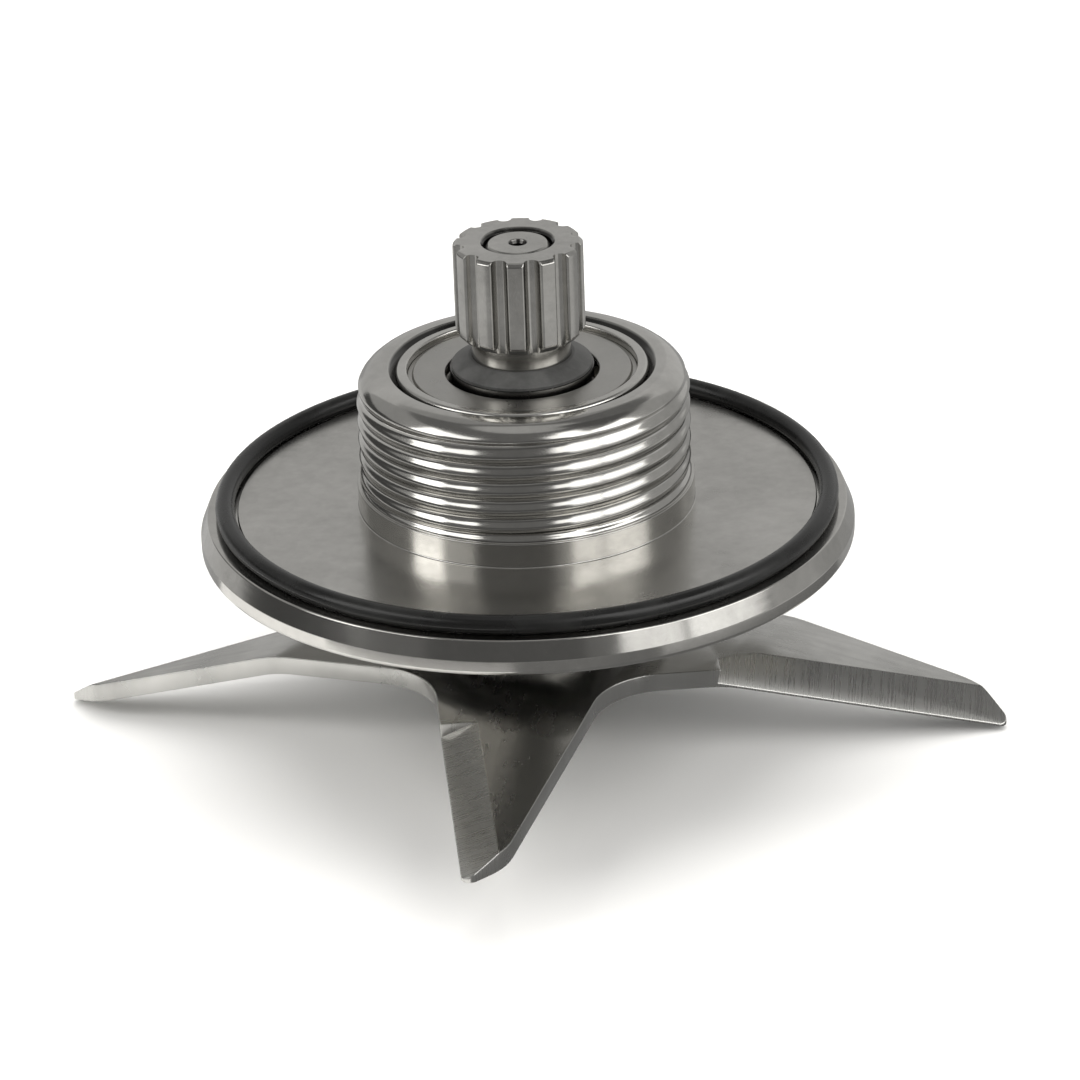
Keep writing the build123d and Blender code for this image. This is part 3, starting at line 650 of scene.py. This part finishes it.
class BLADE_OT_drive_spline(bpy.types.Operator):
    """Toothed drive sleeve on the end of the shaft"""

    bl_idname = "blade.drive_spline"
    bl_label = "Drive spline"

    def execute(self, context):
        z = context.scene.blade_sizes
        face, top = low("drive_spline").z, high("drive_spline").z
        crest = max(high("drive_spline").x, high("drive_spline").y)
        base = top - z.spline_length
        half = z.gap_width / 2
        pitch = 2 * np.pi / z.teeth
        wall = np.arcsin(half / crest)
        ease = 0.5 * MM
        land = np.linspace(-pitch / 2 + wall + ease / crest, pitch / 2 - wall - ease / crest, 9)
        crown = np.stack([crest * np.cos(land), crest * np.sin(land)], axis=1)
        bow = np.radians(np.linspace(0, 90, 7))[1:]
        turn_in = np.array([cos(pitch / 2), sin(pitch / 2)])
        aside = np.array([-sin(pitch / 2), cos(pitch / 2)])
        rise = (crest - ease + ease * np.cos(bow))[:, None] * turn_in
        lean = (half + ease - ease * np.sin(bow))[:, None] * aside
        edge, edge_back = rise - lean, rise + lean
        sweep = np.radians(np.linspace(-90, 90, 11))
        bottom = (z.gap_root + half - half * np.cos(sweep))[:, None] * turn_in + (half * np.sin(sweep))[:, None] * aside
        tooth = np.concatenate([crown, edge, bottom, edge_back[::-1]])
        spin = z.tooth_azimuth + pitch * np.arange(z.teeth)
        radius = np.tile(np.hypot(tooth[:, 0], tooth[:, 1]), z.teeth)
        angle = (spin[:, None] + np.arctan2(tooth[:, 1], tooth[:, 0])[None]).ravel()
        bore, collar, foot = z.drive_end_radius, z.collar_radius, z.foot_radius
        foot_top = face + z.foot_height
        lead_in, end_break = 0.7 * MM, 0.35 * MM
        lead = rounded_path([
            (bore, face, 0.05 * MM), (foot, face, 0.03 * MM), (foot, foot_top, 0.03 * MM),
            (collar, foot_top, 0.05 * MM), (collar, base, 0.05 * MM), (crest - lead_in, base, 0.12 * MM),
            (crest, base + lead_in, 0.4 * MM), (crest, top - end_break, 0.25 * MM),
            (crest - end_break, top, 0.25 * MM), (bore + end_break, top, 0.12 * MM), (bore, top - end_break, 0.08 * MM),
        ], steps=6, support=0.02 * MM)
        toothed = (lead[:, 1] >= base - 0.001 * MM) & (lead[:, 0] > collar + 0.4 * MM)
        rows = np.where(toothed[:, None], np.minimum(lead[:, :1], radius[None]), lead[:, :1])
        height = np.repeat(lead[:, 1:], len(angle), 1)
        points = np.stack([rows * np.cos(angle), rows * np.sin(angle), height], axis=-1)
        surface("drive_spline_sleeve", [weave(points)], "rotor", material("spline_turning"),
                ["drive_spline"], sharp=50)
        return {"FINISHED"}


class BLADE_OT_shaft(bpy.types.Operator):
    """Shaft with its centre hole and the flats that drive the blade"""

    bl_idname = "blade.shaft"
    bl_label = "Shaft"

    def execute(self, context):
        bottom, top = low("shaft").z, high("shaft").z
        shoulder = high("thrust_washer").z
        seat_low = low("blade_bearing_inner_ring").z
        face = high("drive_bearing_inner_ring").z
        end, land, bearing, half = 4.0 * MM, 6.0 * MM, 5.0 * MM, 3.25 * MM
        chamfer, hole, hole_depth = 0.5 * MM, 0.7 * MM, 1.7 * MM
        drive_end = context.scene.blade_sizes.drive_end_radius - 0.01 * MM
        path = rounded_path([
            (0.0, bottom, 0.0), (end, bottom, 0.5 * MM), (end, shoulder, 0.05 * MM), (land, shoulder, 0.15 * MM),
            (land, seat_low, 0.15 * MM), (bearing, seat_low, 0.1 * MM), (bearing, face, 0.1 * MM),
            (drive_end, face, 0.1 * MM), (drive_end, top - chamfer, 0.15 * MM),
            (drive_end - chamfer, top, 0.15 * MM), (hole + 0.25 * MM, top, 0.12 * MM),
            (hole, top - 0.4 * MM, 0.08 * MM), (hole, top - hole_depth, 0.1 * MM),
            (0.0, top - hole_depth - 0.3 * MM, 0.0),
        ], support=0.02 * MM)
        path[:, 0] = np.maximum(path[:, 0], 0)

        def flats(angles, height):
            """Flats at half the width over the sine of the angle, below the shoulder only."""
            across = half / np.maximum(np.abs(np.sin(angles)), 1e-6)
            return np.where(height < shoulder - 0.06 * MM, across, 1.0)

        surface("drive_shaft", [weave(turned(path, circle(144), flats))], "rotor",
                material("spline_turning"), ["shaft"])
        return {"FINISHED"}


class BLADE_OT_blade(bpy.types.Operator):
    """Four-armed cutting blade with the washers and the cap nut that hold it"""

    bl_idname = "blade.blade"
    bl_label = "Blade and nut"

    def execute(self, context):
        z = context.scene.blade_sizes
        finish_node("cutting_blade", "blade_sheet", z.edge_break)
        finish_node("lock_washer", "fastener_steel", 0.1 * MM)
        finish_node("thrust_washer", "fastener_steel", 0.1 * MM)
        bottom, top = low("cap_nut").z, high("cap_nut").z
        flats = min(high("cap_nut").x, high("cap_nut").y)
        corner = flats / cos(radians(30))
        cap, cap_top, bore = 6.0 * MM, bottom + 1.8 * MM, 4.0 * MM
        end_wall, chamfer, chamfer_height = bottom + 1.2 * MM, 0.5 * MM, 0.35 * MM
        path = rounded_path([
            (0.0, bottom, 0.0), (cap, bottom, 1.2 * MM), (cap, cap_top, 0.1 * MM),
            (corner - chamfer, cap_top, 0.15 * MM), (corner, cap_top + chamfer_height, 0.2 * MM),
            (corner, top - chamfer_height, 0.2 * MM), (corner - chamfer, top, 0.15 * MM),
            (bore, top, 0.2 * MM), (bore, end_wall, 0.1 * MM), (0.0, end_wall, 0.0),
        ], steps=6, support=0.02 * MM)
        path[:, 0] = np.maximum(path[:, 0], 0)

        def hexagon(angles, height):
            """Half the width over flats divided by the cosine of the angle to the nearest flat's middle."""
            return flats / np.cos(np.mod(angles, radians(60)) - radians(30)) + 0 * height

        surface("blade_cap_nut", [weave(turned(path, circle(144), hexagon))], "rotor",
                material("fastener_steel"), ["cap_nut"])
        return {"FINISHED"}


class BLADE_OT_shaft_seal(bpy.types.Operator):
    """Shaft seal below the blade bearing: pressed case, rubber lip and the garter spring's coil"""

    bl_idname = "blade.shaft_seal"
    bl_label = "Shaft seal"

    def execute(self, context):
        lowest, highest = low("seal_garter_spring"), high("seal_garter_spring")
        thick = (highest.z - lowest.z) / 2
        centre = highest.x - thick
        wire = 0.14 * MM
        turns = 96
        along = circle(turns * 12)
        wind = along * turns
        section = circle(6)
        ring = np.stack([np.cos(along), np.sin(along), 0 * along], axis=1)
        up = np.array([0.0, 0.0, 1.0])
        coil = thick - wire
        outward = np.cos(wind)[:, None] * ring + np.sin(wind)[:, None] * up
        middle = centre * ring + coil * outward + np.array([0, 0, lowest.z + thick])
        tangent = np.gradient(np.concatenate([middle[-1:], middle, middle[:1]]), axis=0)[1:-1]
        tangent /= np.linalg.norm(tangent, axis=1, keepdims=True)
        side = np.cross(tangent, outward)
        over, beside = np.cos(section)[:, None, None], np.sin(section)[:, None, None]
        points = middle[None] + wire * (over * outward[None] + beside * side[None])
        surface("garter_coil", [weave(points)], "housing", material("fastener_steel"),
                ["seal_garter_spring"], sharp=180)
        finish_node("seal_case", "fastener_steel", 0.12 * MM)
        finish_node("seal_lip", "seal_rubber")
        return {"FINISHED"}


class BLADE_OT_inner_pieces(bpy.types.Operator):
    """Finishes of the bearing pieces inside the housing"""

    bl_idname = "blade.inner_pieces"
    bl_label = "Inner pieces"

    def execute(self, context):
        # The inner rings get the race steel that carries painted shade
        kinds = {"cage": "cage_plastic", "balls": "bearing_grinding", "inner_ring": "shaded_race_steel",
                 "outer_ring": "bearing_grinding", "lower_shield": "shield_pressing",
                 "upper_shield": "shield_pressing"}
        for place in ("drive", "blade"):
            for piece, kind in kinds.items():
                if place == "drive" and piece in ("outer_ring", "upper_shield"):
                    continue
                finish_node(f"{place}_bearing_{piece}", kind)
        finish_node("bearing_spacer", "spline_turning")
        return {"FINISHED"}


# Stage

LAMP_DISTANCE = 0.85
FLOOR_RADIUS, FLOOR_END = 0.32, 0.5  # where the floor begins to clear, and where it is gone
# Name, azimuth and elevation in degrees, width and length in metres, share of the soft boxes' power
LAMPS = (
    ("Soft box left", -72, 37, 0.30, 0.55, 1.0),
    ("Soft box right", 62, 34, 0.72, 0.80, 1.6),
    ("Soft box top", 180, 65, 0.9, 0.9, 2.0),
)
# Name, azimuths and elevations in degrees, radius in metres, tone
CARDS = (
    ("Dome", (-180, 180), (-8, 90), 1.36, 0.17),
    ("Card overhead", (-180, 180), (72, 90), 1.33, 0.5),
    ("Flag low left", (-140, -60), (-4, 16), 1.3, 0.07),
    ("Flag in front", (-36, 18), (4, 22), 1.3, 0.11),
    ("Box left", (-84, -60), (16, 48), 1.3, 3.0),
    ("Box left high", (-60, -37), (28, 48), 1.3, 2.2),
    ("Card left", (-140, -84), (16, 48), 1.3, 0.36),
    ("Box right", (30, 52), (22, 60), 1.3, 2.7),
    ("Box right low", (30, 52), (8, 22), 1.3, 1.3),
    ("Box right side", (54, 88), (8, 22), 1.3, 1.5),
    ("Box right side high", (54, 88), (22, 46), 1.3, 3.0),
    ("Box right high", (19, 30), (30, 55), 1.3, 2.1),
    ("Flag right high", (70, 114), (50, 78), 1.3, 0.11),
    ("Card right", (88, 130), (-4, 46), 1.3, 0.42),
    ("Card back right", (130, 170), (-4, 42), 1.3, 0.62),
    ("Card back", (170, 220), (-4, 42), 1.3, 0.55),
    ("Card back high", (165, 220), (42, 66), 1.3, 0.36),
)
# Name, azimuths in degrees, radii in metres, tone
GROUND_CARDS = (
    ("Dark floor in front", (-60, 36), (0.145, 1.3), 0.22),
    ("Pale floor in front", (-60, 36), (0.106, 0.145), 0.38),
    ("Dark floor close", (-60, 36), (0.082, 0.106), 0.22),
    ("Dark floor near", (-60, 36), (0.076, 0.082), 0.22),
    ("Dark floor by the arms", (-5, 110), (0.012, 0.076), 0.2),
    ("Dark floor under the flange", (110, 250), (0.020, 0.088), 0.4),
    ("Dark floor right", (36, 110), (0.076, 1.3), 0.6),
    ("Dark floor left", (-110, -60), (0.088, 1.3), 0.6),
    ("Dark floor behind", (110, 205), (0.088, 1.3), 0.38),
    ("Dark floor behind left", (205, 250), (0.088, 1.3), 0.6),
)


def staged(name, points, tone):
    """An open grid with an even glow that only reflections see."""
    points, faces = weave(points, close_rows=False, close_columns=False)
    mesh = bpy.data.meshes.new(name)
    mesh.from_pydata(points, [], faces)
    paint = bpy.data.materials.new(name)
    tree = empty_tree(paint)
    light = new_node(tree, "Emission", {"Color": (1.0, 0.995, 0.98, 1.0), "Strength": tone})
    new_node(tree, "OutputMaterial", {0: light.outputs[0]})
    mesh.materials.append(paint)
    piece = bpy.data.objects.new(name, mesh)
    bpy.context.scene.collection.objects.link(piece)
    piece.visible_camera = False
    piece.visible_diffuse = False
    piece.visible_shadow = False
    piece.visible_transmission = False


def card(name, azimuth, elevation, radius, tone):
    """A curved studio card: part of a sphere between two azimuths and two elevations.

    Azimuth is counted from the camera's side, towards the right. A point is at radius times the cosine of its
    elevation from the axis, and radius times the sine above the floor.
    """
    turn = np.radians(np.linspace(*azimuth, 25)) - np.pi / 2
    around, up = np.meshgrid(turn, np.radians(np.linspace(*elevation, 13)))
    points = np.stack([np.cos(up) * np.cos(around), np.cos(up) * np.sin(around), np.sin(up)], axis=-1)
    staged(name, radius * points, tone)


def ground(name, azimuth, span, tone):
    """A flat card just above the floor: a sector between two azimuths and two radii."""
    turn = np.radians(np.linspace(*azimuth, 25)) - np.pi / 2
    around, reach = np.meshgrid(turn, np.linspace(*span, 5))
    staged(name, np.stack([reach * np.cos(around), reach * np.sin(around), 0 * reach], axis=-1), tone)


class BLADE_OT_stage(bpy.types.Operator):
    """Camera, pale floor, even light, soft boxes and the cards that the steel reflects"""

    bl_idname = "blade.stage"
    bl_label = "Stage"

    def execute(self, context):
        scene = context.scene
        scene.view_settings.view_transform = "Standard"
        self.camera(scene, scene.blade_stage)
        self.room(scene, scene.blade_stage)
        self.floor(scene)
        for lamp in LAMPS:
            self.lamp(scene, scene.blade_stage, *lamp)
        for place in CARDS:
            card(*place)
        for place in GROUND_CARDS:
            ground(*place)
        return {"FINISHED"}

    def camera(self, scene, p):
        """A camera that looks at the aim point from the front, rolled and stepped aside as in the photo."""
        back = Vector((0, -cos(p.elevation), sin(p.elevation)))
        right = Vector((1, 0, 0))
        up = back.cross(right)
        across = right * cos(p.roll) + up * sin(p.roll)
        upright = up * cos(p.roll) - right * sin(p.roll)
        place = Vector((0, 0, p.aim_height)) + back * p.distance + across * p.aim_right + upright * p.aim_up
        camera = bpy.data.objects.new("Camera", bpy.data.cameras.new("Camera"))
        camera.data.sensor_width = 36
        camera.data.lens = p.lens
        camera.data.clip_start = 0.01
        camera.matrix_world = Matrix((
            (across.x, upright.x, back.x, place.x), (across.y, upright.y, back.y, place.y),
            (across.z, upright.z, back.z, place.z), (0, 0, 0, 1)))
        scene.collection.objects.link(camera)
        scene.camera = camera

    def room(self, scene, p):
        """Even light from all round; what the camera, a reflection or a see-through surface sees of it is white."""
        scene.world = bpy.data.worlds.new("Studio")
        tree = empty_tree(scene.world)
        path = new_node(tree, "LightPath").outputs
        seen = new_node(tree, "Math", {0: path["Is Camera Ray"], 1: path["Is Glossy Ray"]}, operation="MAXIMUM")
        clear = new_node(tree, "Math", {0: seen.outputs[0], 1: path["Is Transmission Ray"]}, operation="MAXIMUM")
        level = new_node(tree, "MapRange", {"Value": clear.outputs[0], "To Min": p.room, "To Max": 1.0})
        sky = new_node(tree, "Background", {"Color": (1.0, 1.0, 1.0, 1.0), "Strength": level.outputs[0]})
        new_node(tree, "OutputWorld", {0: sky.outputs[0]})

    def floor(self, scene):
        """A pale disc that catches the shadow; it clears far out, into the white room, and when seen from below."""
        around = circle(96)
        span = np.array([0.0, 0.3, 0.8, 1.6])[:, None]
        points = np.stack([span * np.cos(around), span * np.sin(around), 0 * span * around - 0.05 * MM], axis=-1)
        points, faces = weave(points[::-1], close_rows=False)
        mesh = bpy.data.meshes.new("Floor")
        mesh.from_pydata(points, [], faces)
        floor = bpy.data.objects.new("Floor", mesh)
        scene.collection.objects.link(floor)
        s = Shader("Floor", Base_Color=(0.93, 0.93, 0.92, 1.0), Roughness=0.9, Specular_IOR_Level=0.0)
        reach = s.add("VectorMath", {0: s.place}, operation="LENGTH").outputs["Value"]
        below = s.add("NewGeometry").outputs["Backfacing"]
        clear = s.math("MAXIMUM", below, s.spread(reach, FLOOR_RADIUS, FLOOR_END, 0.0, 1.0))
        gone = s.add("BsdfTransparent").outputs[0]
        pick = s.add("MixShader", {0: clear, 1: s.face.outputs[0], 2: gone})
        s.tree.links.new(pick.outputs[0], s.out.inputs[0])
        mesh.materials.append(s.material)

    def lamp(self, scene, p, name, azimuth, rise, width, length, power):
        """A soft box that lights the object and isn't mirrored in it."""
        lamp = bpy.data.lights.new(name, "AREA")
        lamp.shape = "RECTANGLE"
        lamp.size = width
        lamp.size_y = length
        lamp.energy = p.boxes * power
        lamp.color = (1.0, 0.985, 0.96)
        box = bpy.data.objects.new(name, lamp)
        box.visible_glossy = False
        turn = radians(azimuth) - radians(90)
        spot = Vector((cos(radians(rise)) * cos(turn), cos(radians(rise)) * sin(turn), sin(radians(rise))))
        box.location = spot * LAMP_DISTANCE
        box.rotation_euler = spot.to_track_quat("Z", "Y").to_euler()
        scene.collection.objects.link(box)


OPERATORS = (BLADE_OT_housing, BLADE_OT_rim_ring, BLADE_OT_drive_bearing, BLADE_OT_drive_spline, BLADE_OT_shaft,
             BLADE_OT_blade, BLADE_OT_shaft_seal, BLADE_OT_inner_pieces, BLADE_OT_stage)


class BLADE_PT_assembly(bpy.types.Panel):
    """Lists the pieces and the stage"""

    bl_idname = "BLADE_PT_assembly"
    bl_label = "Blade assembly"
    bl_space_type = "VIEW_3D"
    bl_region_type = "UI"
    bl_category = "Blade assembly"

    def draw(self, context):
        for operator in OPERATORS:
            self.layout.operator(operator.bl_idname)
        for group in (context.scene.blade_sizes, context.scene.blade_finish, context.scene.blade_stage):
            box = self.layout.box()
            for key in group.__annotations__:
                box.prop(group, key)


CLASSES = (BladeAssemblySizes, BladeAssemblyFinish, BladeAssemblyStage, *OPERATORS, BLADE_PT_assembly)


def register():
    for item in CLASSES:
        bpy.utils.register_class(item)
    bpy.types.Scene.blade_sizes = PointerProperty(type=BladeAssemblySizes)
    bpy.types.Scene.blade_finish = PointerProperty(type=BladeAssemblyFinish)
    bpy.types.Scene.blade_stage = PointerProperty(type=BladeAssemblyStage)


def unregister():
    del bpy.types.Scene.blade_stage
    del bpy.types.Scene.blade_finish
    del bpy.types.Scene.blade_sizes
    for item in reversed(CLASSES):
        bpy.utils.unregister_class(item)


def main():
    register()
    bpy.ops.blade.housing()
    bpy.ops.blade.rim_ring()
    bpy.ops.blade.drive_bearing()
    bpy.ops.blade.drive_spline()
    bpy.ops.blade.shaft()
    bpy.ops.blade.blade()
    bpy.ops.blade.shaft_seal()
    bpy.ops.blade.inner_pieces()
    bpy.ops.blade.stage()


if __name__ == "__main__":
    main()
